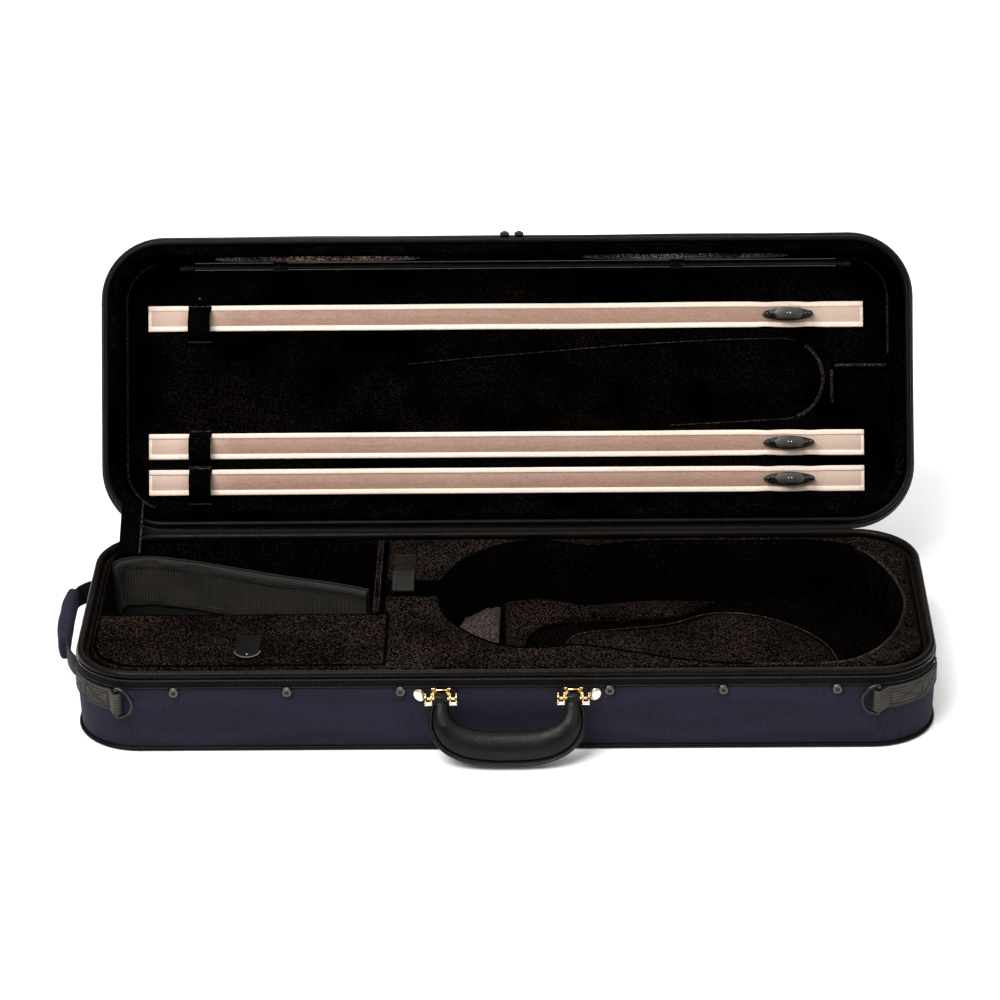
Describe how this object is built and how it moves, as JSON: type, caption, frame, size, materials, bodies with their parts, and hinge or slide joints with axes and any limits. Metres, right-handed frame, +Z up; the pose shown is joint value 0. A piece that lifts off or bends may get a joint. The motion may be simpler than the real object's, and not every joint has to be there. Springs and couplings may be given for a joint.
{
  "type": "violin case",
  "caption": "Oblong canvas instrument case with its lid open on a stay: shaped velour cavity, accessory box with a lid, bow holders in the lid, carry handle and zip.",
  "frame": {"origin": "centre of the base's underside, on the surface the case lies on", "axes": "+X along the case to the right, seen from the handle side; +Y to the hinge side; +Z up"},
  "size_m": [0.8223, 0.5202, 0.335],
  "materials": {
    "canvas": "navy woven canvas",
    "shell_board": "plain board, hidden",
    "velour": "brown-black velour",
    "webbing": "dark woven webbing",
    "piping": "dark grey-olive corded piping",
    "leather": "soft black leather",
    "brass": "polished",
    "dark_nickel": "dark nickel plate",
    "black_plastic": "black",
    "bow_satin": "padded rose-beige cloth with satin edges"
  },
  "bodies": {
    "base": {"base_shell": "shell_board", "base_cover": "canvas", "base_bottom_welt": "piping", "base_rim_welt": "piping", "base_zip_tape": "webbing", "suspension_insert": "velour", "compartment_partition": "velour", "neck_ramp_cushion": "velour", "upper_bout_cushion": "velour", "lower_bout_cushion": "velour", "accessory_box": "velour", "neck_strap_root": "webbing", "snap_stud_1": "dark_nickel", "snap_stud_2": "dark_nickel", "snap_stud_3": "dark_nickel", "snap_stud_4": "dark_nickel", "snap_stud_5": "dark_nickel", "snap_stud_6": "dark_nickel", "handle_bracket_left": "brass", "handle_bracket_right": "brass", "d_ring_tab_left": "webbing", "d_ring_tab_right": "webbing", "subway_handle": "canvas", "lid_stay": "webbing", "canvas_hinge": "canvas"},
    "lid": {"lid_cover": "canvas", "lid_shell": "shell_board", "lid_rim_welt": "piping", "lid_top_welt": "piping", "lid_zip_tape": "webbing", "lid_lining": "velour", "bow_strip_1": "bow_satin", "bow_strip_2": "bow_satin", "bow_strip_3": "bow_satin", "bow_tip_loop_1": "webbing", "bow_tip_loop_2": "webbing", "bow_tip_loop_3": "webbing", "bow_clip_plate_1": "black_plastic", "bow_clip_plate_2": "black_plastic", "bow_clip_plate_3": "black_plastic", "utility_rail": "black_plastic", "rail_end_cap_left": "dark_nickel", "rail_end_cap_right": "dark_nickel", "rail_bracket_left": "black_plastic", "rail_bracket_right": "black_plastic"},
    "swivel_1": {"bow_clip_swivel_1": "dark_nickel"},
    "swivel_2": {"bow_clip_swivel_2": "dark_nickel"},
    "swivel_3": {"bow_clip_swivel_3": "dark_nickel"},
    "accessory_lid": {"accessory_lid": "velour", "accessory_pull_tab": "leather"},
    "neck_strap": {"neck_strap": "leather"},
    "shoulder_strap": {"shoulder_strap": "webbing"},
    "carry_handle": {"carry_handle": "leather"},
    "d_ring_left": {"d_ring_left": "dark_nickel"},
    "d_ring_right": {"d_ring_right": "dark_nickel"},
    "zip_slider_left": {"zip_slider_left": "dark_nickel"},
    "zip_slider_right": {"zip_slider_right": "dark_nickel"},
    "zip_pull_left": {"zip_pull_left": "dark_nickel"},
    "zip_pull_right": {"zip_pull_right": "dark_nickel"}
  },
  "joints": [
    {"name": "lid_hinge", "type": "hinge", "parent": "base", "child": "lid", "pos_m": [0, 0.144, 0.0812], "axis": [-1, 0, 0], "range_deg": [-118, 0], "deforming": ["lid_stay", "canvas_hinge"]},
    {"name": "accessory_lid_hinge", "type": "hinge", "parent": "base", "child": "accessory_lid", "pos_m": [0, -0.0245, 0.0775], "axis": [-1, 0, 0], "range_deg": [0, 95]},
    {"name": "neck_strap_fold", "type": "hinge", "parent": "base", "child": "neck_strap", "pos_m": [-0.0975, 0.0575, 0.0802], "axis": [-1, 0, 0], "range_deg": [0, 98]},
    {"name": "shoulder_strap_lift", "type": "slide", "parent": "base", "child": "shoulder_strap", "axis": [0, 0, 1], "range_m": [0, 0.12]},
    {"name": "carry_handle_swing", "type": "hinge", "parent": "base", "child": "carry_handle", "pos_m": [0.002, -0.153, 0.0595], "axis": [-1, 0, 0], "range_deg": [-22, 95]},
    {"name": "d_ring_left_swing", "type": "hinge", "parent": "base", "child": "d_ring_left", "pos_m": [-0.35336, -0.14414, 0.0525], "axis": [0, 0, -1], "range_deg": [0, 110]},
    {"name": "d_ring_right_swing", "type": "hinge", "parent": "base", "child": "d_ring_right", "pos_m": [0.33824, -0.14672, 0.0525], "axis": [0, 0, 1], "range_deg": [0, 110]},
    {"name": "zip_slider_left_run", "type": "slide", "parent": "lid", "child": "zip_slider_left", "axis": [1, 0, 0], "range_m": [-0.32, 0]},
    {"name": "zip_pull_left_swing", "type": "hinge", "parent": "zip_slider_left", "child": "zip_pull_left", "pos_m": [-0.001, 0.29013, 0.33217], "axis": [1, 0, 0], "range_deg": [0, 100]},
    {"name": "zip_slider_right_run", "type": "slide", "parent": "lid", "child": "zip_slider_right", "axis": [1, 0, 0], "range_m": [0, 0.32]},
    {"name": "zip_pull_right_swing", "type": "hinge", "parent": "zip_slider_right", "child": "zip_pull_right", "pos_m": [0.013, 0.29013, 0.33217], "axis": [1, 0, 0], "range_deg": [0, 100]},
    {"name": "bow_clip_turn_1", "type": "hinge", "parent": "lid", "child": "swivel_1", "pos_m": [0.277, 0.27982, 0.24739], "axis": [0, 0.8829, -0.4695], "continuous": true},
    {"name": "bow_clip_turn_2", "type": "hinge", "parent": "lid", "child": "swivel_2", "pos_m": [0.277, 0.22043, 0.1357], "axis": [0, 0.8829, -0.4695], "continuous": true},
    {"name": "bow_clip_turn_3", "type": "hinge", "parent": "lid", "child": "swivel_3", "pos_m": [0.277, 0.20376, 0.10435], "axis": [0, 0.8829, -0.4695], "continuous": true}
  ]
}
